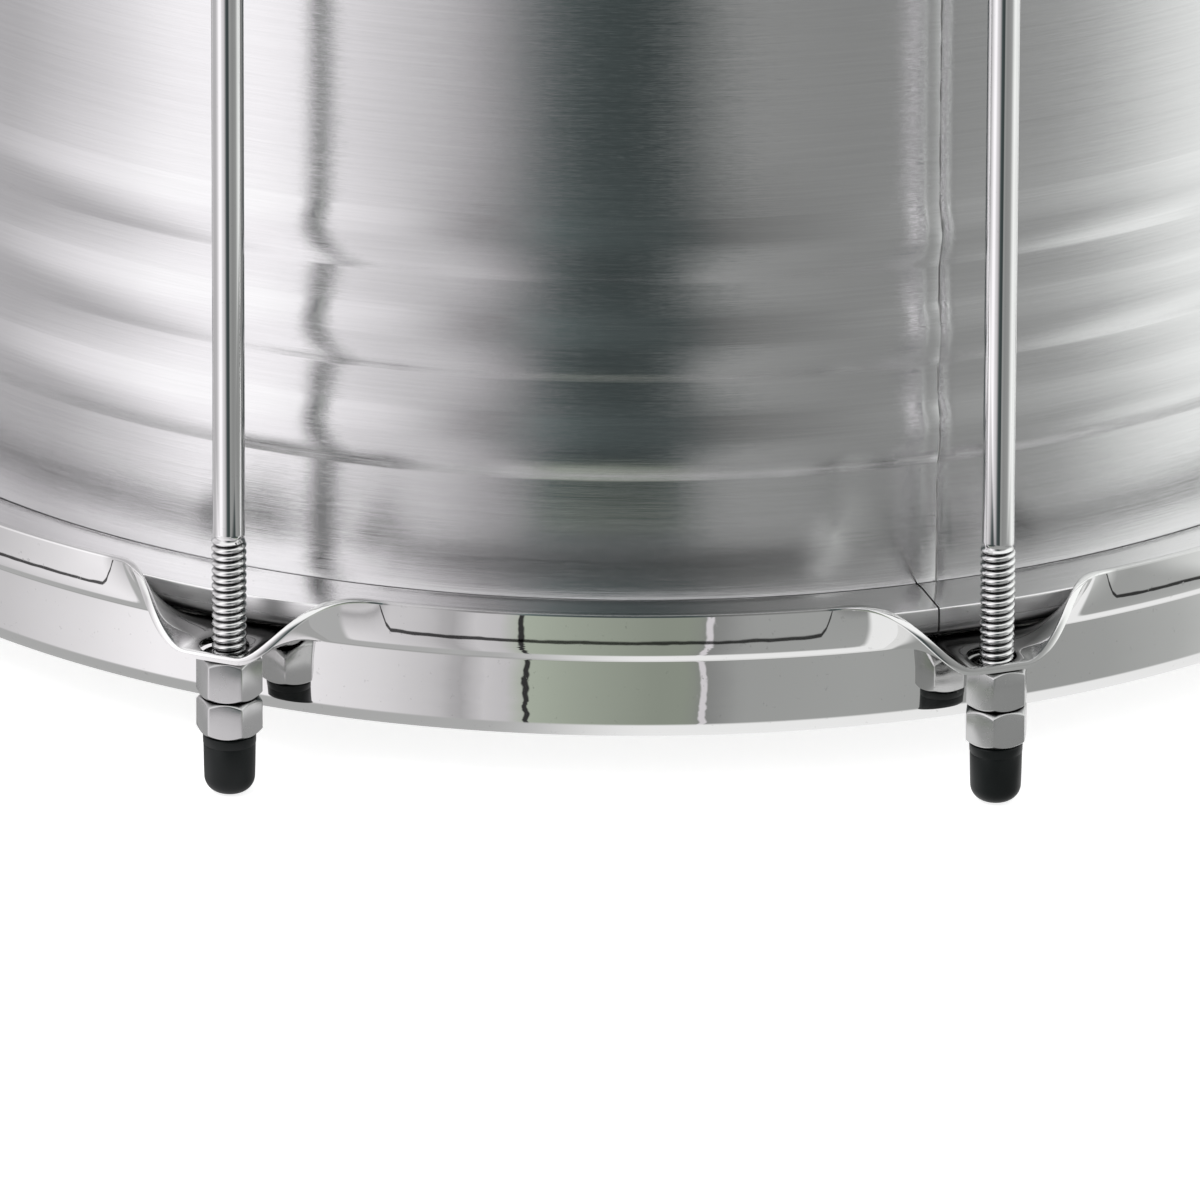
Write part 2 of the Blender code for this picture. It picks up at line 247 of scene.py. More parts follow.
def tidy_up(piece):
    """In edit mode, merges doubles and turns every face outwards."""
    bpy.ops.mesh.select_all(action="SELECT")
    bpy.ops.mesh.remove_doubles(threshold=MERGE)
    bpy.ops.mesh.normals_make_consistent(inside=False)


def modify(piece, kind, **settings):
    """Adds a modifier, sets it and applies it."""
    take(piece)
    added = piece.modifiers.new(kind.lower(), kind)
    for key, value in settings.items():
        setattr(added, key, value)
    bpy.ops.object.modifier_apply(modifier=added.name)


def thicken(piece, wall):
    modify(piece, "SOLIDIFY", thickness=wall, offset=-1.0, use_even_offset=True, use_quality_normals=True)


def round_edges(piece, width, angle=math.radians(40)):
    modify(piece, "BEVEL", width=width, segments=2, limit_method="ANGLE", angle_limit=angle, use_clamp_overlap=True)


def smooth(piece):
    take(piece)
    bpy.ops.object.shade_smooth_by_angle(angle=TILT_LIMIT)


def settled(piece):
    """Puts an object's place, turn and size into its mesh."""
    take(piece)
    bpy.ops.object.transform_apply(location=True, rotation=True, scale=True)
    return piece


def cut(piece, tool, operation):
    """Cuts a piece with a tool, or keeps only what lies inside it, and removes the tool."""
    modify(piece, "BOOLEAN", object=tool, operation=operation, solver="EXACT")
    bpy.data.objects.remove(tool, do_unlink=True)


def copied(piece, name, matrix, flip=False):
    """A copy with its own mesh, moved by a matrix inside that mesh."""
    twin = piece.copy()
    twin.data = piece.data.copy()
    twin.name = twin.data.name = name
    bpy.context.scene.collection.objects.link(twin)
    twin.data.transform(matrix)
    if flip:
        twin.data.flip_normals()
    return twin


def upended(piece, name):
    """The same piece for the drum's upper end."""
    return copied(piece, name, Matrix.Translation((0, 0, MIRROR_SUM)) @ Matrix.Diagonal((1, 1, -1, 1)), flip=True)


def around(radius, height, angle):
    """The point at a radius, height and angle, with the angle measured from -Y towards +X."""
    return Vector((radius * math.sin(angle), -radius * math.cos(angle), height))


def arc(centre, radius, start, end, steps):
    """Points on an arc in the (radius, height) plane, with angles in degrees."""
    angles = [math.radians(start + (end - start) * step / steps) for step in range(steps + 1)]
    return [(centre[0] + radius * math.cos(a), centre[1] + radius * math.sin(a)) for a in angles]


def lug_angle(index):
    return FULL_TURN * (index + 0.5) / LUGS


def at_lug(index, turn=0.0):
    """Puts a pattern that stands on the drum's axis at one of the rods, turned in place."""
    return Matrix.Translation(around(ROD_CIRCLE, 0, lug_angle(index))) @ Matrix.Rotation(turn, 4, "Z")


def mark_painted_shade(piece, amount):
    """Writes how dark the painted shade makes the plating at each vertex, from 0 to 1, for the material to read."""
    painted_shade = piece.data.attributes.new("painted_shade", "FLOAT", "POINT")
    for vert, value in zip(piece.data.vertices, painted_shade.data):
        value.value = min(max(amount(vert), 0.0), 1.0)


def keep(piece, body, slot, material, *nodes):
    """Gives a finished piece its material and its place in the frame."""
    piece.data.materials.clear()
    piece.data.materials.append(material)
    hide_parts(*nodes)
    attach(piece, body)


class Nodes:
    """Short words for placing and linking nodes in one tree."""

    def __init__(self, tree):
        self.tree = tree

    def add(self, kind, inputs=(), **settings):
        node = self.tree.nodes.new(kind)
        for key, value in settings.items():
            setattr(node, key, value)
        for socket, value in dict(inputs).items():
            self.feed(node.inputs[socket], value)
        return node

    def feed(self, socket, value):
        if isinstance(value, bpy.types.NodeSocket):
            self.tree.links.new(value, socket)
        else:
            socket.default_value = value

    def math(self, operation, first, second=0.0):
        return self.add("ShaderNodeMath", {0: first, 1: second}, operation=operation).outputs[0]

    def spread(self, value, low, high, to_low=0.0, to_high=1.0, smooth=True):
        kind = "SMOOTHSTEP" if smooth else "LINEAR"
        inputs = {"Value": value, "From Min": low, "From Max": high, "To Min": to_low, "To Max": to_high}
        return self.add("ShaderNodeMapRange", inputs, interpolation_type=kind).outputs["Result"]

    def mix(self, factor, first, second, blend="MIX"):
        node = self.add("ShaderNodeMix", data_type="RGBA", blend_type=blend)
        for socket, value in (("Factor", factor), ("A", first), ("B", second)):
            at = next(s for s in node.inputs if s.name == socket and s.enabled)
            self.feed(at, value)
        return next(s for s in node.outputs if s.enabled)

    def choose(self, factor, first, second):
        return self.add("ShaderNodeMixShader", {0: factor, 1: first, 2: second}).outputs[0]

    def band(self, value, low, high, edge):
        """1 where a value is between two limits and 0 away from them."""
        rise, fall = self.spread(value, low - edge, low), self.spread(value, high, high + edge, 1.0, 0.0)
        return self.math("MULTIPLY", rise, fall)

    def noise(self, vector, scale, detail=2.0, roughness=0.5):
        inputs = {"Vector": vector, "Scale": scale, "Detail": detail, "Roughness": roughness}
        return self.add("ShaderNodeTexNoise", inputs).outputs["Fac"]

    def stretched(self, vector, scale):
        return self.add("ShaderNodeMapping", {"Vector": vector, "Scale": scale}).outputs[0]

    def parts(self, vector):
        return self.add("ShaderNodeSeparateXYZ", {0: vector}).outputs

    def from_axis(self, sides):
        squares = [self.math("MULTIPLY", sides[k], sides[k]) for k in (0, 1)]
        return self.math("SQRT", self.math("ADD", *squares))

    def angle(self, sides):
        """From the front towards the right."""
        return self.math("ARCTAN2", sides[0], self.math("MULTIPLY", sides[1], -1.0))


def opaque(rgb):
    return (*rgb, 1.0)


WHITE = opaque((1.0, 1.0, 1.0))


def shared_group(name, inputs, outputs, build):
    """A node group with named sockets, made the first time that it is asked for."""
    group = bpy.data.node_groups.get(name)
    if group:
        return group
    group = bpy.data.node_groups.new(name, "ShaderNodeTree")
    for label, kind, value in inputs:
        socket = group.interface.new_socket(name=label, in_out="INPUT", socket_type=kind)
        if value is not None:
            socket.default_value = value
    for label, kind in outputs:
        group.interface.new_socket(name=label, in_out="OUTPUT", socket_type=kind)
    nodes = Nodes(group)
    given = nodes.add("NodeGroupInput").outputs
    result = nodes.add("NodeGroupOutput").inputs
    build(nodes, given, result)
    return group


FLOAT, VECTOR = "NodeSocketFloat", "NodeSocketVector"


def turned_lines():
    """Fine lines that run round the drum, as brushing or turning leaves them."""

    def build(nodes, given, result):
        place = nodes.parts(given["Place"])
        # Part of the radius is added, so that the lines also run round a level face
        outwards = nodes.math("MULTIPLY", nodes.from_axis(place), 0.83)
        across = nodes.math("MULTIPLY", nodes.math("ADD", place[2], outwards), given["Across"])
        flat = [nodes.math("MULTIPLY", place[k], given["Along"]) for k in (0, 1)]
        vector = nodes.add("ShaderNodeCombineXYZ", {0: flat[0], 1: flat[1], 2: across}).outputs[0]
        fine = nodes.noise(vector, 1.0, 3.0, 0.62)
        coarse = nodes.noise(nodes.stretched(vector, (0.31, 0.31, 0.17)), 1.0, 2.0, 0.5)
        mixed = nodes.math("ADD", nodes.math("MULTIPLY", fine, 0.62), nodes.math("MULTIPLY", coarse, 0.38))
        nodes.feed(result["Lines"], nodes.spread(mixed, 0.30, 0.70))

    inputs = [("Place", VECTOR, None), ("Along", FLOAT, 120.0), ("Across", FLOAT, 3200.0)]
    return shared_group("turned_lines", inputs, [("Lines", FLOAT)], build)


def handling():
    """Broad faint clouds with small specks, as touching and dust leave them."""

    def build(nodes, given, result):
        clouds = nodes.noise(given["Place"], given["Scale"], 4.0, 0.55)
        specks = nodes.noise(given["Place"], nodes.math("MULTIPLY", given["Scale"], 34.0), 2.0, 0.7)
        nodes.feed(result["Clouds"], nodes.spread(clouds, 0.35, 0.68))
        nodes.feed(result["Specks"], nodes.spread(specks, 0.66, 0.76))

    inputs = [("Place", VECTOR, None), ("Scale", FLOAT, 18.0)]
    return shared_group("handling", inputs, [("Clouds", FLOAT), ("Specks", FLOAT)], build)


def dents():
    """The slight unevenness of pressed and polished sheet, as a height."""

    def build(nodes, given, result):
        broad = nodes.noise(given["Place"], given["Scale"], 1.0, 0.4)
        close = nodes.noise(given["Place"], nodes.math("MULTIPLY", given["Scale"], 4.3), 1.0, 0.5)
        nodes.feed(result["Height"], nodes.math("ADD", broad, nodes.math("MULTIPLY", close, 0.16)))

    inputs = [("Place", VECTOR, None), ("Scale", FLOAT, 90.0)]
    return shared_group("dents", inputs, [("Height", FLOAT)], build)


def start_material(name):
    """A material with its node words, its shader and the place on the piece."""
    material = bpy.data.materials.new(name)
    material.use_nodes = True
    nodes = Nodes(material.node_tree)
    shader = material.node_tree.nodes["Principled BSDF"]
    place = nodes.add("ShaderNodeTexCoord").outputs["Object"]
    return material, nodes, shader, place


def placed(nodes, group, **inputs):
    """Places a shared group and gives back its outputs."""
    node = nodes.add("ShaderNodeGroup", node_tree=group)
    for label, value in inputs.items():
        nodes.feed(node.inputs[label], value)
    return node.outputs


def bumped(nodes, height, distance, strength=1.0, normal=None):
    inputs = {"Height": height, "Distance": distance, "Strength": strength}
    if normal is not None:
        inputs["Normal"] = normal
    return nodes.add("ShaderNodeBump", inputs).outputs[0]


def shaded(rgb, factor):
    return opaque([channel * factor for channel in rgb])


def brushed_metal(settings):
    """Sheet brushed round the drum, with its joined edge as a dark broken line."""
    material, nodes, shader, place = start_material("brushed_metal")
    lines = placed(nodes, turned_lines(), Place=place, Along=70.0, Across=9500.0)["Lines"]
    touch = placed(nodes, handling(), Place=place, Scale=14.0)
    angle = nodes.angle(nodes.parts(place))
    sway = nodes.noise(nodes.stretched(place, (0.0, 0.0, 1.0)), 150.0, 3.0, 0.6)
    wander = nodes.math("MULTIPLY", nodes.math("SUBTRACT", sway, 0.5), 0.0042)
    off = nodes.math("ABSOLUTE", nodes.math("SUBTRACT", nodes.math("SUBTRACT", angle, settings.seam_angle), wander))
    broken = nodes.spread(nodes.noise(nodes.stretched(place, (0.0, 0.0, 1.0)), 95.0, 2.0, 0.6), 0.40, 0.56)
    seam = nodes.math("MULTIPLY", nodes.spread(off, 0.0006, 0.0016, 1.0, 0.0), broken)
    base = nodes.mix(lines, shaded(settings.metal, 0.96), shaded(settings.metal, 1.03))
    base = nodes.mix(nodes.math("MULTIPLY", touch["Clouds"], 0.12), base, shaded(settings.metal, 0.80))
    base = nodes.mix(nodes.math("MULTIPLY", seam, 0.55), base, opaque((0.10, 0.095, 0.09)))
    nodes.feed(shader.inputs["Base Color"], base)
    nodes.feed(shader.inputs["Metallic"], 1.0)
    rough = nodes.math("ADD", nodes.math("MULTIPLY", lines, 0.05), settings.roughness - 0.025)
    nodes.feed(shader.inputs["Roughness"], nodes.math("ADD", rough, nodes.math("MULTIPLY", seam, 0.3)))
    nodes.feed(shader.inputs["Anisotropic"], settings.brushing)
    nodes.feed(shader.inputs["Anisotropic Rotation"], 0.25)
    tangent = nodes.add("ShaderNodeTangent", direction_type="RADIAL", axis="Z").outputs[0]
    nodes.feed(shader.inputs["Tangent"], tangent)
    uneven = placed(nodes, dents(), Place=place, Scale=26.0)["Height"]
    normal = bumped(nodes, lines, 0.000008)
    nodes.feed(shader.inputs["Normal"], bumped(nodes, uneven, 0.00006, normal=normal))
    return material


def polished_chrome(name, rgb, roughness, dent_scale, dent_depth, cloud_scale=20.0):
    """Mirror plating that is slightly uneven, with faint clouds and specks, and darkened by painted shade where it is
    marked so.
    """
    material, nodes, shader, place = start_material(name)
    touch = placed(nodes, handling(), Place=place, Scale=cloud_scale)
    base = nodes.mix(nodes.math("MULTIPLY", touch["Clouds"], 0.25), opaque(rgb), shaded(rgb, 0.93))
    base = nodes.mix(nodes.math("MULTIPLY", touch["Specks"], 0.25), base, shaded(rgb, 0.55))
    # Painted shade: where a piece marks it, the plating's colour goes towards near black
    painted_shade = nodes.add("ShaderNodeAttribute", attribute_name="painted_shade").outputs["Fac"]
    base = nodes.mix(painted_shade, base, shaded(rgb, 0.05))
    nodes.feed(shader.inputs["Base Color"], base)
    nodes.feed(shader.inputs["Metallic"], 1.0)
    rough = nodes.math("MULTIPLY", touch["Clouds"], roughness * 0.7)
    rough = nodes.math("ADD", rough, nodes.math("MULTIPLY", touch["Specks"], 0.10))
    nodes.feed(shader.inputs["Roughness"], nodes.math("ADD", rough, roughness * 0.7))
    uneven = placed(nodes, dents(), Place=place, Scale=dent_scale)["Height"]
    nodes.feed(shader.inputs["Normal"], bumped(nodes, uneven, dent_depth))
    return material


def turned_aluminium(settings):
    """Light metal hoop with turning lines, satin on its side, brighter on its face and with painted shade at its foot.
    """
    material, nodes, shader, place = start_material("turned_aluminium")
    lines = placed(nodes, turned_lines(), Place=place, Along=40.0, Across=9000.0)["Lines"]
    touch = placed(nodes, handling(), Place=place, Scale=30.0)
    base = nodes.mix(lines, shaded(settings.flesh_metal, 0.96), shaded(settings.flesh_metal, 1.03))
    base = nodes.mix(nodes.math("MULTIPLY", touch["Specks"], 0.35), base, shaded(settings.flesh_metal, 0.45))
    from_middle = nodes.math("ABSOLUTE", nodes.math("SUBTRACT", nodes.parts(place)[2], MIRROR_SUM / 2))
    foot = MIRROR_SUM / 2 - FLESH_BASE
    # Painted shade: the colour darkens towards the foot, where the hoop sits in the counterhoop's channel
    base = nodes.mix(nodes.spread(from_middle, foot - 0.0030, foot - 0.0004), base, shaded(settings.flesh_metal, 0.40))
    nodes.feed(shader.inputs["Base Color"], base)
    nodes.feed(shader.inputs["Metallic"], 1.0)
    satin = nodes.spread(from_middle, foot - 0.0058, foot - 0.0050, 0.07, 0.32)
    nodes.feed(shader.inputs["Roughness"], nodes.math("ADD", nodes.math("MULTIPLY", lines, 0.05), satin))
    nodes.feed(shader.inputs["Normal"], bumped(nodes, lines, 0.0000008))
    return material


def coated_film(settings):
    """Milky drum film with a fine coating, a little worn where it is struck."""
    material, nodes, shader, place = start_material("coated_film")
    grain = nodes.noise(place, 2400.0, 2.0, 0.6)
    touch = placed(nodes, handling(), Place=place, Scale=9.0)
    near = nodes.spread(nodes.from_axis(nodes.parts(place)), 0.02, 0.12, 1.0, 0.0)
    struck = nodes.math("MULTIPLY", near, touch["Clouds"])
    base = nodes.mix(nodes.math("MULTIPLY", touch["Clouds"], 0.4), opaque(settings.milk), shaded(settings.milk, 0.94))
    base = nodes.mix(nodes.math("MULTIPLY", struck, 0.35), base, shaded(settings.milk, 0.82))
    nodes.feed(shader.inputs["Base Color"], base)
    rough = nodes.math("ADD", nodes.math("MULTIPLY", grain, 0.16), settings.roughness - 0.08)
    nodes.feed(shader.inputs["Roughness"], nodes.math("SUBTRACT", rough, nodes.math("MULTIPLY", struck, 0.12)))
    nodes.feed(shader.inputs["Transmission Weight"], 0.18)
    nodes.feed(shader.inputs["Normal"], bumped(nodes, grain, 0.00002, 0.6))
    return material


def cap_rubber(settings):
    """Black satin rubber with a faint moulded grain and a little dust."""
    material, nodes, shader, place = start_material("cap_rubber")
    grain = nodes.noise(place, 3200.0, 2.0, 0.6)
    touch = placed(nodes, handling(), Place=place, Scale=160.0)
    worn = nodes.math("MULTIPLY", touch["Clouds"], 0.5)
    base = nodes.mix(worn, opaque(settings.rubber), opaque((0.008, 0.011, 0.011)))
    base = nodes.mix(nodes.math("MULTIPLY", touch["Specks"], 0.10), base, opaque((0.10, 0.10, 0.10)))
    nodes.feed(shader.inputs["Base Color"], base)
    nodes.feed(shader.inputs["Roughness"], nodes.math("ADD", nodes.math("MULTIPLY", grain, 0.12), 0.34))
    nodes.feed(shader.inputs["Specular IOR Level"], 0.26)
    nodes.feed(shader.inputs["Normal"], bumped(nodes, grain, 0.000015, 0.5))
    return material


def bead_outline(settings, middle):
    """A rolled bead: a flat arc that stands out of the wall and meets it in two crisp creases."""
    half, height, crease = settings.bead_width / 2, settings.bead_height, 0.00018
    radius = (half**2 + height**2) / (2 * height)
    tilt = math.degrees(math.asin(half / radius))
    crown = arc((SHELL_RADIUS + height - radius, middle), radius, -tilt * 0.97, tilt * 0.97, 11)
    return [(SHELL_RADIUS, middle - half - crease)] + crown + [(SHELL_RADIUS, middle + half + crease)]


def shell_half(settings):
    """The lower part of the shell's outer side, from the tip of the turned edge to the last bead."""
    radius = settings.bearing_round
    centre = (SHELL_RADIUS - radius, BEARING_EDGE + radius)
    turned = arc(centre, radius, -135.0, 0.0, 14)
    reach = settings.flange / math.sqrt(2)
    points = [(turned[0][0] - reach, turned[0][1] + reach)] + turned
    for bead in range(3):
        points += bead_outline(settings, BEARING_EDGE + settings.first_bead + bead * settings.bead_pitch)
    return points


def press_seam(piece, settings):
    """Splits one column of edges into a narrow groove with an uneven course."""

    def on_seam(vert):
        angle = math.atan2(vert.co.x, -vert.co.y)
        return abs(angle - settings.seam_angle) < 1e-4

    pick(piece, edges=lambda e: on_seam(e.verts[0]) and on_seam(e.verts[1]))
    bpy.ops.mesh.bevel(offset=settings.seam_width / 2, offset_type="OFFSET", segments=2, affect="EDGES")
    chance = random.Random(7)
    shifts = {}

    def place(vert):
        angle = math.atan2(vert.co.x, -vert.co.y) - settings.seam_angle
        if abs(angle) > settings.seam_width / SHELL_RADIUS:
            return None
        row = round(vert.co.z * 5e3)
        if row not in shifts:
            shifts[row] = (chance.uniform(-1.0, 1.0) * 0.5 * settings.seam_width, chance.uniform(0.5, 1.2))
        drift, depth = shifts[row]
        middle = abs(angle) < 0.2 * settings.seam_width / SHELL_RADIUS
        radius = math.hypot(vert.co.x, vert.co.y) - (settings.seam_depth * depth if middle else 0.0)
        return around(radius, vert.co.z, angle + settings.seam_angle + drift / SHELL_RADIUS)

    reshape(piece, place)


def build_shell(settings):
    lower = shell_half(settings) + [(SHELL_RADIUS, height) for height in (0.118, 0.134, 0.150)]
    outline = lower + [(radius, MIRROR_SUM - height) for radius, height in reversed(lower)]
    piece = spun("brushed_shell", outline, 300, closed=False, start=settings.seam_angle)
    press_seam(piece, settings)
    thicken(piece, settings.wall)
    round_edges(piece, 0.0003)
    smooth(piece)
    keep(piece, "drum", "brushed_shell", brushed_metal(settings), "shell")


def film_outline(settings):
    """The lower head's outer side: flat, over the bearing edge, up its collar and out into the flesh hoop."""
    centre = (SHELL_RADIUS - BEARING_ROUND, BEARING_EDGE + BEARING_ROUND)
    skin = GAP + settings.film
    flat = [(step / 12 * centre[0], BEARING_EDGE - skin) for step in range(12)]
    over = arc(centre, BEARING_ROUND + skin, -90.0, 0.0, 12)
    lean, turn, tongue = 0.0010, 0.0009, 0.0038
    level = FLESH_BASE + (FLESH_HEIGHT - settings.film) / 2
    collar = arc((SHELL_RADIUS + skin + lean + turn, level - turn), turn, 180.0, 90.0, 6)
    return flat + over + collar + [(FLESH_INNER + tongue, level)]


def build_heads(settings):
    film = coated_film(settings)
    lower = spun("lower_film", film_outline(settings), 192, closed=False)
    thicken(lower, settings.film)
    smooth(lower)
    upper = upended(lower, "upper_film")
    keep(lower, "drum", "film", film, "bottom_head")
    keep(upper, "drum", "film", film, "top_head")


def flesh_outline():
    """A flesh hoop's section: a rounded foot, a groove, a slot for the film, and a lip at the shell."""
    base, top, middle = FLESH_BASE, FLESH_BASE + FLESH_HEIGHT, FLESH_BASE + FLESH_HEIGHT / 2
    toe, groove, edge, slope = 0.0022, 0.00012, 0.00045, 0.0005
    slot, depth = 0.00068, 0.0044
    close, lip, drop = SHELL_RADIUS + 0.0002, 0.0016, 0.00015
    foot = arc((FLESH_OUTER - toe, base + toe), toe, -90.0, 0.0, 6)
    notch_at = base + toe + 0.00025
    notch = [
        (FLESH_OUTER, notch_at),
        (FLESH_OUTER - 2 * groove, notch_at + groove),
        (FLESH_OUTER, notch_at + 2 * groove),
    ]
    shoulder = arc((FLESH_OUTER - edge, top - slope - edge), edge, 0.0, 90.0, 4)
    inner = [(FLESH_INNER, top)] + arc((close + drop, top - 2 * drop), drop, 90.0, 180.0, 3)
    inner += [(close, top - lip), (FLESH_INNER, top - lip)]
    heel = arc((FLESH_INNER + edge, base + edge), edge, 180.0, 270.0, 3)
    mouth = [
        (FLESH_INNER, middle + slot),
        (FLESH_INNER + depth, middle + slot),
        (FLESH_INNER + depth, middle - slot),
        (FLESH_INNER, middle - slot),
    ]
    return foot + notch + shoulder + inner + mouth + heel


def build_flesh_hoops(settings):
    """Each is bent from bar, so it has a butt joint, near the shell's seam on the lower one."""
    metal = turned_aluminium(settings)
    gap = settings.flesh_gap / FLESH_OUTER
    start = settings.flesh_joint + gap / 2
    lower = spun("lower_flesh_hoop", flesh_outline(), 288, start=start, angle=FULL_TURN - gap)
    smooth(lower)
    upper = upended(lower, "upper_flesh_hoop")
    keep(lower, "drum", "flesh_hoop", metal, "bottom_flesh_hoop")
    keep(upper, "drum", "flesh_hoop", metal, "top_flesh_hoop")


# Half widths of an ear's flat, its whole curve and the grid's even cells at the hole
EAR_FLAT = math.radians(1.55)
EAR_ROOT = math.radians(9.55)
HOLE_SPAN = math.radians(1.86)
HOLE_DRIFT = 0.0003
BAND_HEIGHT = 0.0101

# Cells of the grid: along half a sector, up the flange, and the first and last row cut out for the hole
HOLE_CELLS, CURVE_CELLS, PLAIN_CELLS = 6, 26, 13
FLANGE_ROWS, HOLE_ROWS = 28, (9, 27)

# How dark the painted shade makes the plating in the holes and in the hollow, and the radius from which an ear has no
# painted shade
HOLE_SHADE, HOLLOW_SHADE = 0.9, 0.78
SHADE_UNTIL = 0.1785


def ear_share(offset):
    """0 on an ear's flat, 1 on the plain band, and a smooth step on the curve between them."""
    along = min(max((abs(offset) - EAR_FLAT) / (EAR_ROOT - EAR_FLAT), 0.0), 1.0)
    return along * along * (3 - 2 * along)


def section_offset(column):
    """The angle of a column of the sector from the ear's middle."""
    side = abs(column)
    if side <= HOLE_CELLS:
        offset = HOLE_SPAN * side / HOLE_CELLS
    elif side <= HOLE_CELLS + CURVE_CELLS:
        offset = HOLE_SPAN + (EAR_ROOT - HOLE_SPAN) * (side - HOLE_CELLS) / CURVE_CELLS
    else:
        plain = FULL_TURN / LUGS / 2 - EAR_ROOT
        offset = EAR_ROOT + plain * (side - HOLE_CELLS - CURVE_CELLS) / PLAIN_CELLS
    return math.copysign(offset, column)


def rim_rows(settings):
    """The outer side of the rolled lip and rim, and the ledge's underside as far as the bend."""
    rolled = (RIM_RADIUS - settings.roll, RIM_EDGE + settings.roll)
    filleted = (RIM_RADIUS + settings.fillet, LEDGE_UNDER - settings.fillet)
    rows = arc(rolled, settings.roll, -90.0, 0.0, 6)
    low, high = rows[-1][1], filleted[1]
    rows += [(RIM_RADIUS, low + (high - low) * part / 3) for part in (1, 2)]
    rows += arc(filleted, settings.fillet, 180.0, 90.0, 5)
    ledge_end = BAND_RADIUS - settings.bend
    start = rows[-1][0]
    rows += [(start + (ledge_end - start) * part / 3, LEDGE_UNDER) for part in (1, 2)]
    return rows


def flange_point(settings, offset, part):
    """A point on the flange's outer side, at a share of its length from the ledge."""
    share = ear_share(offset)
    fold = math.pi / 2 * share
    start = BAND_RADIUS - settings.bend
    band_length = settings.bend * math.pi / 2 + BAND_HEIGHT - settings.bend
    ear_length = EAR_RADIUS - start
    along = part * (ear_length + (band_length - ear_length) * share)
    turned = min(along / settings.bend, fold)
    straight = along - turned * settings.bend
    out = start + settings.bend * math.sin(turned) + straight * math.cos(fold)
    up = LEDGE_UNDER + settings.bend * (1 - math.cos(turned)) + straight * math.sin(fold)
    return out, up


def build_counterhoops(settings):
    """One eighth of the lower hoop is shaped from a grid, drilled, repeated round the drum and thickened."""
    rim = rim_rows(settings)
    columns = HOLE_CELLS + CURVE_CELLS + PLAIN_CELLS
    rows = len(rim) + FLANGE_ROWS
    middle = lug_angle(0) - EAR_DRIFT / ROD_CIRCLE
    put_down()
    bpy.ops.mesh.primitive_grid_add(x_subdivisions=2 * columns, y_subdivisions=rows, size=1.0)
    lower = named("lower_counterhoop")
    edit(lower)
    cells = {}

    def place(vert):
        column, row = round(vert.co.x * 2 * columns), round((vert.co.y + 0.5) * rows)
        offset = section_offset(column)
        point = rim[row] if row < len(rim) else flange_point(settings, offset, (row - len(rim)) / FLANGE_ROWS)
        cells[vert.index] = (column, row - len(rim))
        return around(point[0], point[1], middle + offset)

    reshape(lower, place)

    def over_hole(face):
        inside = [cells[v.index] for v in face.verts]
        return all(abs(c) <= HOLE_CELLS and HOLE_ROWS[0] <= r <= HOLE_ROWS[1] for c, r in inside)

    pick(lower, faces=over_hole)
    bpy.ops.mesh.delete(type="FACE")
    centre = around(ROD_CIRCLE, LEDGE_UNDER, middle + HOLE_DRIFT / ROD_CIRCLE)
    sides = 2 * (2 * HOLE_CELLS + HOLE_ROWS[1] - HOLE_ROWS[0])
    bpy.ops.mesh.primitive_circle_add(vertices=sides, radius=settings.hole, location=centre)

    def at_hole(vert):
        inside = math.hypot(vert.co.x, vert.co.y) < EAR_RADIUS - 0.0002
        return inside and (vert.co - centre).length < 0.0095 and vert.co.z < LEDGE_UNDER + 0.0002

    def hole_edge(edge):
        return len(edge.link_faces) < 2 and all(at_hole(v) for v in edge.verts)

    pick(lower, edges=hole_edge)
    bpy.ops.mesh.bridge_edge_loops()
    bpy.ops.mesh.select_all(action="SELECT")
    bpy.ops.mesh.spin(steps=LUGS - 1, dupli=True, angle=FULL_TURN * (LUGS - 1) / LUGS, center=(0, 0, 0), axis=(0, 0, 1))
    tidy_up(lower)
    face = max(bmesh.from_edit_mesh(lower.data).faces, key=lambda f: f.calc_center_median().z)
    outward = face.normal.dot(face.calc_center_median().xy.to_3d())
    if outward < 0:
        bpy.ops.mesh.flip_normals()
    thicken(lower, settings.sheet)
    round_edges(lower, settings.edge, angle=math.radians(50))
    smooth(lower)

    def hollow_shade(vert):
        """Painted shade in the hole and on the side that faces the flesh hoop, where shade falls."""
        radius, angle = math.hypot(vert.co.x, vert.co.y), math.atan2(vert.co.x, -vert.co.y)
        offset = (angle - middle + math.pi / LUGS) % (FULL_TURN / LUGS) - math.pi / LUGS
        from_hole = math.hypot(radius * math.cos(offset) - ROD_CIRCLE, radius * math.sin(offset) - HOLE_DRIFT)
        if from_hole < settings.hole + 0.0004:
            return HOLE_SHADE
        rise = vert.co.z - LEDGE_UNDER
        away = vert.normal.dot(around(1.0, 0.0, angle))
        end = flange_point(settings, offset, 1.0)
        from_edge = math.hypot(radius - end[0], vert.co.z - end[1])
        if rise < settings.sheet / 2 or max(vert.normal.z, -away) < 0.4 or from_edge < settings.sheet * 1.5:
            return 0.0
        open_air = min(max((rise - 0.0040) / 0.0030, 0.0), 1.0)
        return min((SHADE_UNTIL - radius) / 0.0050, HOLLOW_SHADE - 0.45 * open_air)

    mark_painted_shade(lower, hollow_shade)
    upper = upended(lower, "upper_counterhoop")
    chrome = polished_chrome("hoop_chrome", settings.chrome, settings.roughness, 75.0, 0.000016)
    keep(lower, "drum", "polished_hoop", chrome, "bottom_counterhoop")
    keep(upper, "drum", "polished_hoop", chrome, "top_counterhoop")


HEAD_TURNS = (4.0, -20.0, 12.0, 27.0, -9.0, 17.0, -3.0, 22.0)
NUT_TURNS = (4.0, 8.0, 21.0, -5.0, 26.0, 13.0, -18.0, 16.0)
TIP, THREAD_TOP, HEAD_BASE, HEAD_HEIGHT = 0.0030, 0.0473, 0.3124, 0.0055
BORE = 0.0034
LOCK_BASE, LOCK_HEIGHT = 0.0113, 0.0066
TUNING_BASE, TUNING_HEIGHT = 0.0182, 0.0074


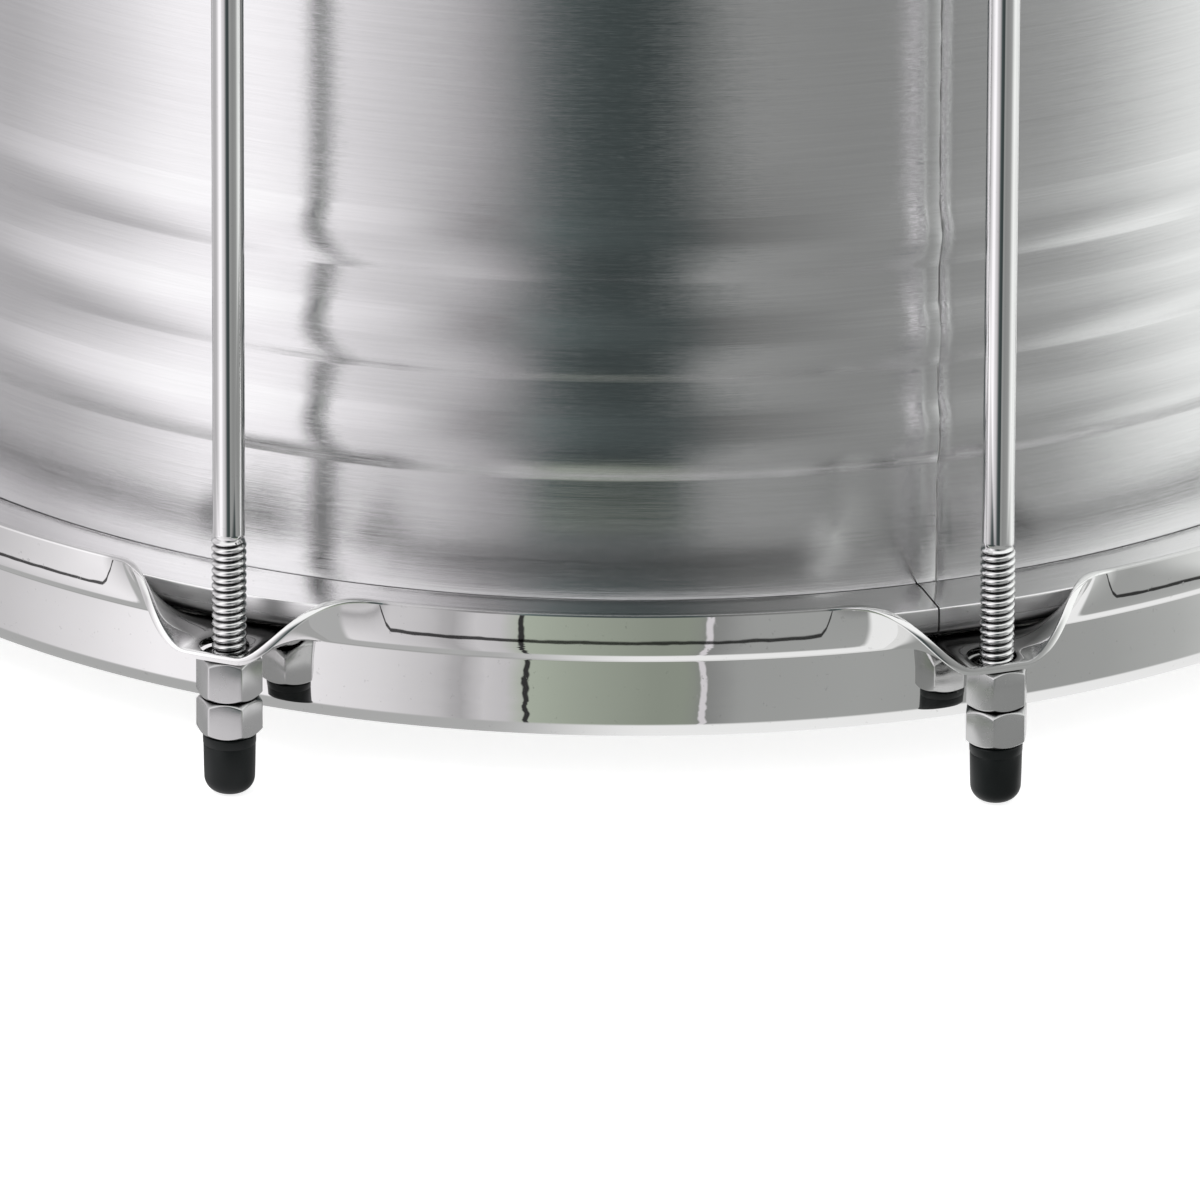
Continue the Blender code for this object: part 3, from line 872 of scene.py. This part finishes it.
def hexagon(name, flats, height, base, ends):
    """A six-sided bar, turned down to a cone at one end or both, so that its faces end in arcs."""
    put_down()
    bpy.ops.mesh.primitive_cylinder_add(
        vertices=6, radius=flats / 2 / math.cos(math.pi / 6), depth=height, location=(0, 0, base + height / 2),
        rotation=(0, 0, math.pi / 6),
    )
    piece = settled(named(name))
    narrow, slope, beyond = flats / 2 - 0.0002, 0.8, 0.002
    wide = narrow + height / 2 / slope
    low, high = (narrow - beyond / slope if end in ends else wide for end in (-1, 1))
    outline = [
        (0.0, base - beyond),
        (low, base - beyond),
        (wide, base + height / 2),
        (high, base + height + beyond),
        (0.0, base + height + beyond),
    ]
    cut(piece, spun("chamfer", outline, 90, closed=False), "INTERSECT")
    return piece


def bored(piece, base, height):
    put_down()
    bpy.ops.mesh.primitive_cylinder_add(vertices=48, radius=BORE, depth=2 * height, location=(0, 0, base + height / 2))
    cut(piece, settled(named("bore")), "DIFFERENCE")


def thread_outline(settings):
    """One pitch of the thread, from root to root over a rounded crest."""
    steps = 8
    points = []
    for step in range(steps + 1):
        along = step / steps
        rise = math.sin(math.pi * along) ** 0.85 if 0 < step < steps else 0.0
        points.append((settings.root + (settings.crest - settings.root) * rise, settings.pitch * along))
    return points


def build_rods(settings, nuts):
    """Eight rods from one: a thread screwed up round the axis, trimmed, run out into the shaft, and headed."""
    turns = math.ceil((THREAD_TOP - TIP) / settings.pitch) + 3
    line = [Vector((radius, 0, height)) for radius, height in thread_outline(settings)]
    pattern = draw_line("rod", line)
    edit(pattern, "SELECT")
    bpy.ops.transform.translate(value=(0, 0, TIP - 1.5 * settings.pitch))
    put_down()
    modify(
        pattern, "SCREW", axis="Z", screw_offset=settings.pitch, iterations=turns, steps=28, render_steps=28,
        use_merge_vertices=True, merge_threshold=MERGE,
    )
    edit(pattern, "SELECT")
    for height, side in ((TIP, {"clear_inner": True}), (THREAD_TOP, {"clear_outer": True})):
        bpy.ops.mesh.select_all(action="SELECT")
        bpy.ops.mesh.bisect(plane_co=(0, 0, height), plane_no=(0, 0, 1), use_fill=True, threshold=MERGE / 10, **side)
    tidy_up(pattern)
    level, shaft = THREAD_TOP, settings.shaft
    runout = [(0.0004, shaft - 0.0003), (0.0009, shaft), (0.0015, shaft), (HEAD_BASE + 0.001 - THREAD_TOP, shaft)]
    for target, radius in ((THREAD_TOP + rise, radius) for rise, radius in runout):
        pick(pattern, faces=lambda f: f.normal.z > 0.9 and abs(f.calc_center_median().z - level) < MERGE * 10)
        bpy.ops.mesh.extrude_region_move(TRANSFORM_OT_translate={"value": (0, 0, target - level)})

        def place(vert):
            if abs(vert.co.z - target) > MERGE * 10:
                return None
            flat = vert.co.xy.normalized() * radius
            return Vector((flat.x, flat.y, target))

        reshape(pattern, place)
        level = target
    tidy_up(pattern)
    put_down()
    head = hexagon("rod_head", nuts.flats, HEAD_HEIGHT, HEAD_BASE, (1,))
    round_edges(head, nuts.bevel)
    modify(pattern, "BOOLEAN", object=head, operation="UNION", solver="EXACT")
    bpy.data.objects.remove(head, do_unlink=True)
    smooth(pattern)

    # Painted shade in the thread's roots, darker the deeper a vertex lies
    def depth(vert):
        low = (settings.crest - vert.co.xy.length) / (settings.crest - settings.root)
        return 1.9 * low - 0.45 if TIP < vert.co.z < THREAD_TOP + MERGE else 0.0

    mark_painted_shade(pattern, depth)
    chrome = polished_chrome("rod_chrome", settings.chrome, settings.roughness, 260.0, 0.000002, 60.0)
    for index in range(LUGS):
        rod = copied(pattern, f"rod_{index + 1}", at_lug(index, math.radians(HEAD_TURNS[index])))
        keep(rod, f"rod_{index + 1}", "rod_chrome", chrome, f"tension_rod_{index + 1}")
    bpy.data.objects.remove(pattern, do_unlink=True)


def build_nuts(settings):
    """The two nuts of each rod, chamfered at both ends."""
    chrome = polished_chrome("nut_chrome", settings.chrome, settings.roughness, 420.0, 0.000004, 90.0)
    for kind, base, height in (("tuning", TUNING_BASE, TUNING_HEIGHT), ("lock", LOCK_BASE, LOCK_HEIGHT)):
        pattern = hexagon(kind + "_hexagon", settings.flats, height, base, (1, -1))
        bored(pattern, base, height)
        round_edges(pattern, settings.bevel)
        smooth(pattern)

        def hidden_shade(vert):
            """Painted shade in the bore and on the two end faces."""
            from_end = min(abs(vert.co.z - base), abs(vert.co.z - base - height))
            return vert.co.xy.length < BORE + 0.0001 or from_end < MERGE * 10

        mark_painted_shade(pattern, hidden_shade)
        for index in range(LUGS):
            turn = lug_angle(index) + math.radians(NUT_TURNS[index])
            nut = copied(pattern, f"{kind}_hexagon_{index + 1}", at_lug(index, turn))
            keep(nut, f"{kind}_{index + 1}", "nut_chrome", chrome, f"{kind}_nut_{index + 1}")
        bpy.data.objects.remove(pattern, do_unlink=True)


def cap_outline(settings):
    """A push-on cap: a rounded foot, a side that widens upwards, a groove and a soft mouth."""
    narrow, lip, groove = settings.radius - 0.00022, 0.0004, 0.00012
    foot = arc((narrow - settings.foot, settings.foot), settings.foot, -90.0, 0.0, 12)
    ring = settings.height - 0.0019
    waist = narrow + 0.7 * (settings.radius - narrow)
    side = [
        (narrow + 0.00006, 0.0048),
        (waist - 0.00003, ring - 2 * groove),
        (waist - groove, ring),
        (waist + 0.00003, ring + 2 * groove),
    ]
    mouth = arc((settings.radius - lip, settings.height - lip), lip, 0.0, 90.0, 6)
    inside = [(BORE, settings.height), (BORE, 0.0027), (0.0, 0.0027)]
    return [(0.0, 0.0)] + foot + side + mouth + inside


def build_caps(settings):
    rubber = cap_rubber(settings)
    pattern = spun("cap", cap_outline(settings), 64, closed=False)
    put_down()
    smooth(pattern)
    for index in range(LUGS):
        cap = copied(pattern, f"cap_{index + 1}", at_lug(index))
        keep(cap, f"rod_{index + 1}", "cap_rubber", rubber, f"end_cap_{index + 1}")
    bpy.data.objects.remove(pattern, do_unlink=True)


CAMERA_DISTANCE = 4.0
CAMERA_SIDE = -0.00562
CAMERA_AIM = -0.02744
CAMERA_TURN = math.radians(1.173)
CAMERA_RISE = math.radians(21.566)
CAMERA_ROLL = math.radians(0.208)
CAMERA_LENS = 656.64
SENSOR = 36.0


def build_camera():
    data = bpy.data.cameras.new("camera")
    data.lens, data.sensor_width = CAMERA_LENS, SENSOR
    data.clip_start, data.clip_end = 0.1, 100.0
    camera = bpy.data.objects.new("camera", data)
    bpy.context.scene.collection.objects.link(camera)
    turn = Matrix.Rotation(CAMERA_TURN, 4, "Z")
    aim = turn @ Vector((CAMERA_SIDE, 0, CAMERA_AIM))
    back = turn @ Vector((0, -math.cos(CAMERA_RISE), math.sin(CAMERA_RISE)))
    facing = back.to_track_quat("Z", "Y").to_matrix().to_4x4()
    roll = Matrix.Rotation(CAMERA_ROLL, 4, "Z")
    camera.matrix_world = Matrix.Translation(aim + CAMERA_DISTANCE * back) @ facing @ roll
    bpy.context.scene.camera = camera


# Bright and dark sides of the studio as metal mirrors them: angle from the front towards the right,
# and brightness as the hoops and the shell mirror the floor close by, further out on the floor, and above it
STUDIO_WALLS = (
    (-180.0, 0.80, 0.80, 0.90), (-116.0, 0.52, 0.40, 0.60), (-89.0, 0.50, 0.42, 0.50), (-74.0, 0.66, 0.64, 0.80),
    (-62.0, 0.82, 0.92, 1.00), (-48.0, 0.82, 0.92, 1.00), (-38.0, 0.68, 0.64, 0.78), (-31.0, 0.60, 0.56, 0.66),
    (-23.0, 0.46, 0.48, 0.40), (-20.0, 0.32, 0.38, 0.28), (-17.0, 0.50, 0.30, 0.20), (-13.4, 0.45, 0.20, 0.24),
    (-11.9, 0.37, 0.13, 0.16), (-10.4, 0.36, 0.09, 0.12), (-4.0, 0.30, 0.05, 0.07), (5.0, 0.24, 0.05, 0.06),
    (9.3, 0.24, 0.07, 0.07), (11.4, 0.20, 0.25, 0.12), (16.0, 0.29, 0.28, 0.17), (32.0, 0.31, 0.23, 0.24),
    (56.0, 0.28, 0.26, 0.34), (66.0, 0.30, 0.34, 0.50), (78.0, 0.37, 0.64, 0.80), (92.0, 0.55, 0.86, 0.90),
    (116.0, 0.70, 0.74, 0.90), (180.0, 0.80, 0.80, 0.90),
)
CLOSE_BY, FURTHER_OUT, ABOVE = 1, 2, 3
STUDIO_STRENGTH = 1.25

# Tints of the studio: its dark middle by level, and its left and right sides
STUDIO_MIDDLE = (-12.5, 10.0)
MIDDLE_TINTS = {CLOSE_BY: (0.93, 1.02, 0.86), FURTHER_OUT: (0.84, 1.04, 1.04), ABOVE: (0.84, 1.04, 1.04)}
LEFT_TINT, RIGHT_TINT = (1.01, 0.985, 1.01), (0.985, 1.0, 0.985)

# Painted dark and bright lines in the hoops' reflection beside the dark middle: brightness by channel, then from, to
# and softness in degrees
PAINTED_LINES = (
    ((0.03, 0.03, 0.03), (-11.7, -11.25, 0.25)),
    ((0.56, 0.54, 0.56), (10.8, 11.35, 0.3)),
)

# Radii between which the painted reflection on the floor close by ends, and what is mirrored there passes on to the
# room beyond
FLOOR_RING = (0.265, 0.290)

# How far out a hoop finds its painted reflection on the floor, and the radius at which the shell does
MIRROR_REACH = 0.0825
INNER_MIRROR = 0.159

# Height and length of a mirrored ray from which it gets the shell's painted reflection, and lengths and softness of a
# painted dark line at the hoop's crease
SHELL_HEIGHT = (0.036, 0.042)
SHELL_LENGTH = (0.080, 0.090)
PAINTED_CREASE = (0.0832, 0.0846, 0.0006)

# The painted reflection on the floor under the counterhoop's lip: radii and softness, and angles and brightness at the
# left and the right
UNDER_LIP = (0.146, 0.175, 0.007)
UNDER_LIP_LIGHT = (-0.17, 0.05, 0.36, 0.74)


def studio_ramp(nodes, angle, level):
    """The studio's brightness by angle, close by, further out or above."""
    turn = nodes.spread(angle, -math.pi, math.pi, smooth=False)
    ramp = nodes.add("ShaderNodeValToRGB", {0: turn})
    stops = ramp.color_ramp.elements
    while len(stops) < len(STUDIO_WALLS):
        stops.new(0.5)
    for stop, wall in zip(stops, STUDIO_WALLS):
        side = LEFT_TINT if wall[0] < 0 else RIGHT_TINT
        tint = MIDDLE_TINTS[level] if STUDIO_MIDDLE[0] < wall[0] < STUDIO_MIDDLE[1] else side
        stop.position = (wall[0] + 180.0) / 360.0
        stop.color = opaque([min(wall[level] * channel, 1.0) for channel in tint])
    return ramp.outputs[0]


def painted_floor_reflection(nodes, place, length):
    """A painted reflection that the floor close by shows only to mirrored rays: one picture for the hoops and another
    for the shell, told apart by where a ray that is length long meets it.
    """
    sides = nodes.parts(place)
    angle, radius = nodes.angle(sides), nodes.from_axis(sides)

    # Painted reflection for the hoops: a hoop close to the floor is shown the studio as if it mirrored the floor a
    # little in front of itself, at less than twice its own angle
    gain = nodes.math("SUBTRACT", 1.0, nodes.math("DIVIDE", MIRROR_REACH, nodes.math("MAXIMUM", radius, 0.14)))
    wave = nodes.math("MULTIPLY", nodes.math("SUBTRACT", nodes.noise(place, 120.0, 2.0, 0.5), 0.5), 0.02)
    around_it = nodes.math("ADD", nodes.math("DIVIDE", angle, gain), wave)
    hoop = studio_ramp(nodes, around_it, CLOSE_BY)
    for rgb, limits in PAINTED_LINES:
        hoop = nodes.mix(nodes.band(around_it, *map(math.radians, limits)), hoop, opaque(rgb))

    # The shell stands further in than the hoops, so it gets another painted reflection, chosen by the ray's height and
    # length at the same reach
    reach = nodes.math("SUBTRACT", radius, INNER_MIRROR)
    squares = [nodes.math("POWER", side, 2.0) for side in (length, reach)]
    height = nodes.math("SQRT", nodes.math("SUBTRACT", *squares))
    inner = nodes.math("MINIMUM", nodes.spread(height, *SHELL_HEIGHT), nodes.spread(length, *SHELL_LENGTH))
    near = nodes.mix(inner, hoop, studio_ramp(nodes, around_it, FURTHER_OUT))
    # A painted dark line in the hoop's reflection at its crease
    crease = nodes.math("MULTIPLY", nodes.band(length, *PAINTED_CREASE), 0.9)
    near = nodes.mix(crease, near, opaque((0.0, 0.0, 0.0)))
    near = nodes.mix(nodes.band(radius, *UNDER_LIP), near, nodes.spread(angle, *UNDER_LIP_LIGHT))
    return near, nodes.spread(radius, *FLOOR_RING)


def floor_paint(settings):
    """Pale paint to the camera, a glowing painted reflection of the studio to what mirrors it, and clear from below."""
    material = bpy.data.materials.new("floor_paint")
    material.use_nodes = True
    nodes = Nodes(material.node_tree)
    material.node_tree.nodes.clear()
    place = nodes.add("ShaderNodeTexCoord").outputs["Object"]
    path = nodes.add("ShaderNodeLightPath").outputs
    grain = nodes.noise(place, 60.0, 3.0, 0.5)
    tone = nodes.mix(grain, shaded(settings.floor, 0.98), shaded(settings.floor, 1.02))
    paint = nodes.add("ShaderNodeBsdfDiffuse", {"Color": tone}).outputs[0]
    glow = nodes.add("ShaderNodeEmission", {"Color": WHITE, "Strength": 0.80}).outputs[0]
    lifted = nodes.add("ShaderNodeAddShader", {0: paint, 1: glow}).outputs[0]
    clear = nodes.add("ShaderNodeBsdfTransparent").outputs[0]
    near, beyond = painted_floor_reflection(nodes, place, path["Ray Length"])
    # The floor glows with the painted reflection, for mirrored rays only
    painted_reflection = nodes.add("ShaderNodeEmission", {"Color": near, "Strength": STUDIO_STRENGTH}).outputs[0]
    seen = nodes.choose(path["Is Camera Ray"], paint, lifted)
    seen = nodes.choose(path["Is Glossy Ray"], seen, nodes.choose(beyond, painted_reflection, clear))
    below = nodes.add("ShaderNodeNewGeometry").outputs["Backfacing"]
    nodes.add("ShaderNodeOutputMaterial", {"Surface": nodes.choose(below, seen, clear)})
    return material


def build_floor(settings):
    """A pale floor that keeps the object's shadow, shows a painted reflection to mirrored rays, and can be looked
    through from below.
    """
    put_down()
    bpy.ops.mesh.primitive_circle_add(vertices=96, radius=3.0, fill_type="NGON", location=(0, 0, -0.0002))
    floor = settled(named("floor"))
    floor.data.materials.append(floor_paint(settings))


def build_lamp(name, power, size, place):
    data = bpy.data.lights.new(name, "AREA")
    data.energy, data.size, data.shape = power, size, "DISK"
    lamp = bpy.data.objects.new(name, data)
    bpy.context.scene.collection.objects.link(lamp)
    lamp.location = place
    lamp.rotation_mode = "QUATERNION"
    lamp.rotation_quaternion = Vector(place).to_track_quat("Z", "Y")
    lamp.visible_glossy = lamp.visible_camera = False


def build_world(settings):
    """White behind the object, even light on it, and a studio with bright and dark sides for what mirrors."""
    world = bpy.data.worlds.new("studio")
    bpy.context.scene.world = world
    world.use_nodes = True
    nodes = Nodes(world.node_tree)
    world.node_tree.nodes.clear()
    direction = nodes.add("ShaderNodeTexCoord").outputs["Generated"]
    sides = nodes.parts(direction)
    angle = nodes.angle(sides)
    out, above = (studio_ramp(nodes, angle, level) for level in (FURTHER_OUT, ABOVE))
    room = nodes.mix(nodes.spread(sides[2], -0.32, -0.12), out, above)
    room = nodes.mix(nodes.spread(sides[2], 0.60, 0.88), room, opaque((0.85, 0.85, 0.85)))
    mirrored, even, white = (
        nodes.add("ShaderNodeBackground", {"Color": color, "Strength": strength}).outputs[0]
        for color, strength in ((room, STUDIO_STRENGTH), (WHITE, settings.fill), (WHITE, 1.0))
    )
    path = nodes.add("ShaderNodeLightPath").outputs
    backed = nodes.math("MAXIMUM", path["Is Camera Ray"], path["Is Transmission Ray"])
    lit = nodes.choose(path["Is Glossy Ray"], even, mirrored)
    nodes.add("ShaderNodeOutputWorld", {"Surface": nodes.choose(backed, lit, white)})


def build_stage(settings):
    build_camera()
    build_floor(settings)
    build_world(settings)
    build_lamp("key lamp", settings.key, 0.9, (-0.9, -1.0, 1.6))
    bpy.context.scene.view_settings.view_transform = "Standard"


class ShellOperator(bpy.types.Operator):
    """Models the brushed shell with its beads, turned edges and seam"""

    bl_idname = "repinique.shell"
    bl_label = "Shell"

    def execute(self, context):
        build_shell(context.scene.repinique_shell)
        return {"FINISHED"}


class HeadsOperator(bpy.types.Operator):
    """Models the two film heads"""

    bl_idname = "repinique.heads"
    bl_label = "Heads"

    def execute(self, context):
        build_heads(context.scene.repinique_heads)
        return {"FINISHED"}


class FleshHoopsOperator(bpy.types.Operator):
    """Models the two flesh hoops that hold the heads"""

    bl_idname = "repinique.flesh_hoops"
    bl_label = "Flesh hoops"

    def execute(self, context):
        build_flesh_hoops(context.scene.repinique_hoops)
        return {"FINISHED"}


class CounterhoopsOperator(bpy.types.Operator):
    """Models the two pressed counterhoops with their ears"""

    bl_idname = "repinique.counterhoops"
    bl_label = "Counterhoops"

    def execute(self, context):
        build_counterhoops(context.scene.repinique_hoops)
        return {"FINISHED"}


class RodsOperator(bpy.types.Operator):
    """Models the threaded tension rods"""

    bl_idname = "repinique.rods"
    bl_label = "Rods"

    def execute(self, context):
        build_rods(context.scene.repinique_rods, context.scene.repinique_nuts)
        return {"FINISHED"}


class NutsOperator(bpy.types.Operator):
    """Models the tuning nuts and lock nuts"""

    bl_idname = "repinique.nuts"
    bl_label = "Nuts"

    def execute(self, context):
        build_nuts(context.scene.repinique_nuts)
        return {"FINISHED"}


class CapsOperator(bpy.types.Operator):
    """Models the end caps on which the drum stands"""

    bl_idname = "repinique.caps"
    bl_label = "End caps"

    def execute(self, context):
        build_caps(context.scene.repinique_caps)
        return {"FINISHED"}


class StageOperator(bpy.types.Operator):
    """Sets up the floor, the studio light and the camera"""

    bl_idname = "repinique.stage"
    bl_label = "Stage"

    def execute(self, context):
        build_stage(context.scene.repinique_stage)
        return {"FINISHED"}


SETTINGS = {
    "repinique_shell": ShellSettings,
    "repinique_heads": HeadSettings,
    "repinique_hoops": HoopSettings,
    "repinique_rods": RodSettings,
    "repinique_nuts": NutSettings,
    "repinique_caps": CapSettings,
    "repinique_stage": StageSettings,
}
OPERATORS = (
    ShellOperator, HeadsOperator, FleshHoopsOperator, CounterhoopsOperator,
    RodsOperator, NutsOperator, CapsOperator, StageOperator,
)


class RepiniquePanel(bpy.types.Panel):
    """Lists the drum's operators and their settings"""

    bl_idname = "VIEW3D_PT_repinique"
    bl_label = "Repinique"
    bl_space_type = "VIEW_3D"
    bl_region_type = "UI"
    bl_category = "Repinique"

    def draw(self, context):
        for operator in OPERATORS:
            self.layout.operator(operator.bl_idname)
        for name, group in SETTINGS.items():
            box = self.layout.box()
            for setting in group.__annotations__:
                box.prop(getattr(context.scene, name), setting)


def register():
    for group in SETTINGS.values():
        bpy.utils.register_class(group)
    for name, group in SETTINGS.items():
        setattr(bpy.types.Scene, name, PointerProperty(type=group))
    for operator in OPERATORS:
        bpy.utils.register_class(operator)
    bpy.utils.register_class(RepiniquePanel)


def unregister():
    bpy.utils.unregister_class(RepiniquePanel)
    for operator in OPERATORS:
        bpy.utils.unregister_class(operator)
    for name, group in SETTINGS.items():
        delattr(bpy.types.Scene, name)
        bpy.utils.unregister_class(group)


def main():
    """Builds the drum and its stage."""
    register()
    for build in (
        bpy.ops.repinique.shell, bpy.ops.repinique.heads, bpy.ops.repinique.flesh_hoops, bpy.ops.repinique.counterhoops,
        bpy.ops.repinique.rods, bpy.ops.repinique.nuts, bpy.ops.repinique.caps, bpy.ops.repinique.stage,
    ):
        build()
    put_down()


if __name__ == "__main__":
    main()
